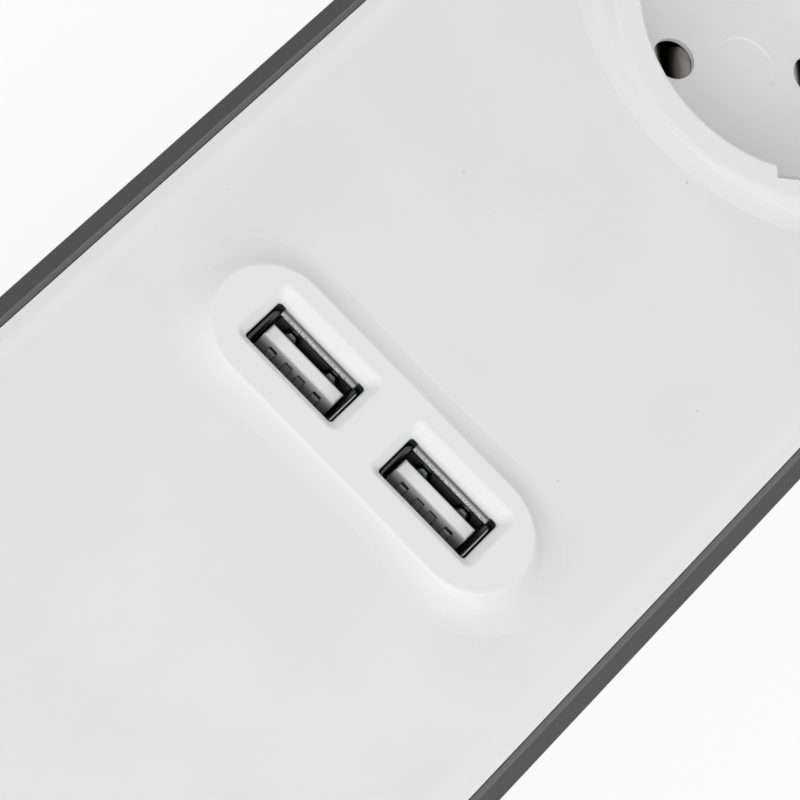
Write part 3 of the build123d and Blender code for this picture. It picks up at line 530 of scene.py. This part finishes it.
def shell_steel():
    """Plated sheet steel with painted shade inside, torn and bright along the folded lip, and dull on leaves
    and rims, with painted light on the leaves, end walls and left rims, painted shadow on the right rims and
    a painted highlight at the right ends.
    """
    look = drawn_metal(
        "shell_steel", dark=grey(0.32), pale=grey(0.38), streak=shell_drawn_along_z, rough=(0.16, 0.26),
    )
    top = shell_high.z
    # Painted shade deep inside the shell
    look.over(look.along("Z", top, shell_shade_span), grey(shell_shade_tone))
    torn = look.remap(look.noise(tear_size, tear_stretch, tear_detail), tear_range)
    lip = look.along("Z", top, shell_lip_span)
    look.over(lip, look.mix(torn, grey(torn_dark_tone), grey(torn_bright_tone)))
    look.over(look.along("Z", top, shell_crest_span), grey(shell_crest_tone))
    # Painted light on the leaves and on the end walls that face the lit side
    leaves = look.ramp(look.distance("X", leaf_middle), 0.0, leaf_span)
    lit_end_walls = look.all_of(look.facing("Y", end_wall_slope), look.along("Z", top, end_wall_span))
    inner = look.any_of(leaves, lit_end_walls)
    look.over(inner, grey(shell_inner_light_tone))
    mouth = look.along("Z", top, mouth_span)
    # Painted light: dull grey on the rims at the ports' left ends
    left_rim_light = look.all_of(mouth, look.ramp(look.port_distance(rim_middle), 0.0, rim_span))
    look.over(left_rim_light, grey(left_rim_light_tone))
    # Painted shadow: near black on the rims at the ports' right ends
    right_end = look.port_distance(-port_half_width)
    right_rim_shadow = look.all_of(mouth, look.ramp(right_end, 0.0, rim_span))
    look.over(right_rim_shadow, grey(right_rim_shadow_tone))
    # Painted highlight: a light line along the ports' right ends
    look.over(look.all_of(mouth, look.ramp(right_end, 0.0, rim_highlight_span)), grey(rim_highlight_tone))
    dull = look.any_of(lip, inner, left_rim_light, right_rim_shadow)
    look.link(look.remap(dull, (0.0, 1.0), (1.0, dull_metal)), look.shader.inputs["Metallic"])
    return look


def contact_plated():
    """Satin plated strip, with painted shade round its bent-in end."""
    look = drawn_metal(
        "contact_plated", dark=(0.62, 0.61, 0.59), pale=(0.72, 0.71, 0.69),
        streak=drawn_along_z, rough=(0.5, 0.6),
    )
    look.set(Metallic=0.5)
    # Painted shade round the contact's bent-in end
    look.over(look.along("Z", contact_end, contact_end_span), grey(contact_end_shade_tone))
    return look


def contact_tinned():
    """Tinned brass strip, darker below the rolled tops of its leaves."""
    look = drawn_metal(
        "contact_tinned", dark=(0.54, 0.53, 0.50), pale=(0.68, 0.67, 0.63),
        streak=drawn_along_x, rough=(0.28, 0.42),
    )
    look.over(look.along("Z", bar_top, leaf_dark_span), leaf_dark_colour)
    return look


def clip_plated():
    return drawn_metal(
        "clip_plated", dark=grey(0.56), pale=grey(0.70), streak=drawn_along_z, rough=(0.24, 0.36),
    )


def screw_steel():
    return drawn_metal("screw_steel", dark=grey(0.46), pale=grey(0.60), streak=even, rough=(0.32, 0.45))


def wire_copper():
    return drawn_metal(
        "wire_copper", dark=(0.62, 0.36, 0.21), pale=(0.76, 0.48, 0.31),
        streak=drawn_along_z, rough=(0.25, 0.4),
    )


def lens_green():
    """Clear green plastic with a faint frosting."""
    look = Look("lens_green")
    look.set(Transmission_Weight=0.55, IOR=1.49)
    clouds = look.remap(look.noise(lens_cloud), noise_range)
    look.colour(look.mix(clouds, (0.20, 0.55, 0.25), (0.32, 0.70, 0.38)))
    look.rough(look.remap(clouds, (0.0, 1.0), (0.12, 0.24)))
    look.bump(look.noise(lens_grain), lens_relief)
    return look


# Each maker has the name of the material slot that it dresses
makers = (
    cover_white, tray_grey, switch_grey, rocker_grey, lens_green, rubber_black,
    shell_steel, tongue_white, contact_plated, contact_tinned, clip_plated, board_green,
    ferrite_dark, can_black, varistor_blue, fuse_tan, screw_steel, wire_copper,
)


def dress_nodes():
    materials = {maker.__name__: maker().material for maker in makers}
    for subpart in frame["record"]["subparts"]:
        node = frame["nodes"][subpart["node"]]
        node.data.materials.clear()
        node.data.materials.append(materials[subpart["material_slot"]])


# Floor
def floor_material():
    """White that keeps the object's shadow and shows as near white to the camera and in reflections."""
    material = bpy.data.materials.new("floor_white")
    material.use_nodes = True
    nodes = material.node_tree.nodes
    link = material.node_tree.links.new
    nodes.remove(nodes["Principled BSDF"])
    path = nodes.new("ShaderNodeLightPath")
    seen = path.outputs["Is Camera Ray"]
    for ray in ("Is Glossy Ray", "Is Transmission Ray"):
        either = nodes.new("ShaderNodeMath")
        either.operation = "MAXIMUM"
        link(seen, either.inputs[0])
        link(path.outputs[ray], either.inputs[1])
        seen = either.outputs["Value"]
    share = nodes.new("ShaderNodeMath")
    share.operation = "MULTIPLY"
    share.inputs[1].default_value = floor_glow
    link(seen, share.inputs[0])
    matt = nodes.new("ShaderNodeBsdfDiffuse")
    matt.inputs["Color"].default_value = (*grey(floor_white), 1.0)
    glow = nodes.new("ShaderNodeEmission")
    blend = nodes.new("ShaderNodeMixShader")
    link(share.outputs["Value"], blend.inputs["Fac"])
    link(matt.outputs["BSDF"], blend.inputs[1])
    link(glow.outputs["Emission"], blend.inputs[2])
    link(blend.outputs["Shader"], nodes["Material Output"].inputs["Surface"])
    return material


def add_floor():
    mesh = bpy.data.meshes.new("floor")
    corners = [(x * floor_reach, y * floor_reach, 0.0) for x, y in ((-1, -1), (1, -1), (1, 1), (-1, 1))]
    mesh.from_pydata(corners, [], [(0, 1, 2, 3)])
    mesh.materials.append(floor_material())
    floor = bpy.data.objects.new("floor", mesh)
    bpy.context.scene.collection.objects.link(floor)


add_camera()
add_lights()
dress_nodes()
add_floor()
